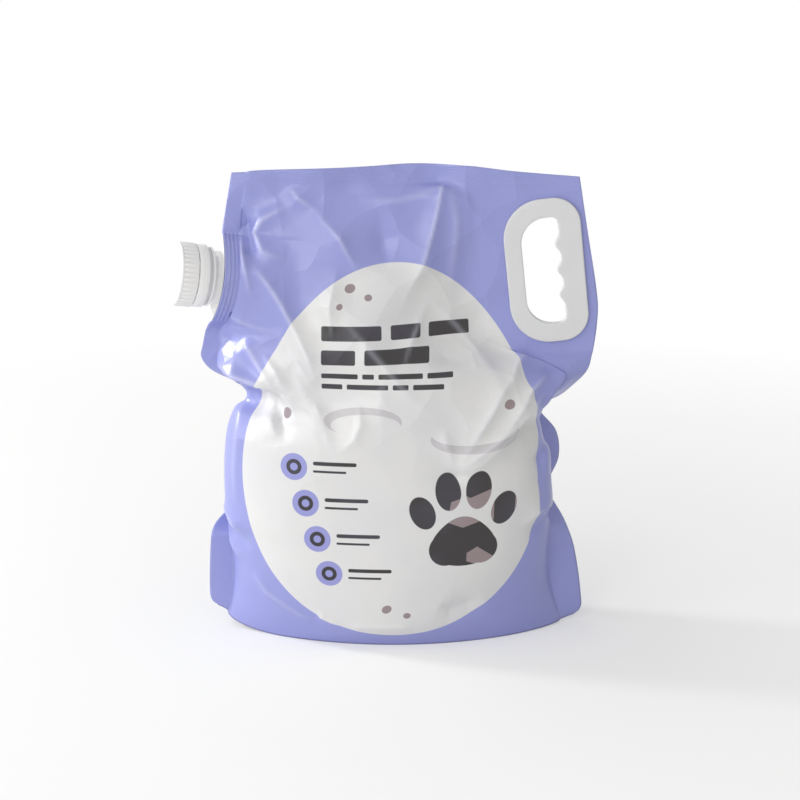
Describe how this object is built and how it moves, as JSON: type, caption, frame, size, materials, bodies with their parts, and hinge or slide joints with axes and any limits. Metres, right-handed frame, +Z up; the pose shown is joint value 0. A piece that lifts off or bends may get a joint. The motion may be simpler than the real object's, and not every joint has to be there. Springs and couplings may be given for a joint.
{
  "type": "cat litter bag",
  "caption": "Stand-up film pouch of cat litter with a bottom gusset, a screw-capped side spout and a clamped-on carry handle.",
  "frame": {"origin": "middle of the base, on the surface that the pouch stands on", "axes": "+Z up; -Y out of the printed front; +X towards the carry handle, -X towards the spout"},
  "size_m": [0.3397, 0.127, 0.3785],
  "materials": {
    "film": "satin laminate film, lilac with an off-white field",
    "handle_plastic": "fine matte, light grey",
    "spout_plastic": "natural milky polyethylene",
    "cap_plastic": "satin white moulding",
    "liner_foam": "closed-cell foam"
  },
  "bodies": {
    "pack": {"pouch": "film", "handle_front": "handle_plastic", "handle_back": "handle_plastic", "spout": "spout_plastic", "tamper_band": "cap_plastic"},
    "wad": {"cap_liner": "liner_foam"},
    "screw_cap": {"cap": "cap_plastic"}
  },
  "joints": [
    {"name": "cap_lift", "type": "slide", "parent": "pack", "child": "wad", "axis": [-0.9281, -0.3378, 0.1564], "range_m": [0, 0.0136]},
    {"name": "cap_turn", "type": "hinge", "parent": "wad", "child": "screw_cap", "pos_m": [-0.141, -0.005, 0.291], "axis": [-0.9281, -0.3378, 0.1564], "range_deg": [0, 540]}
  ],
  "couplings": [
    {"joint": "cap_lift", "follows": "cap_turn", "m_per_rad": 0.0014324}
  ]
}
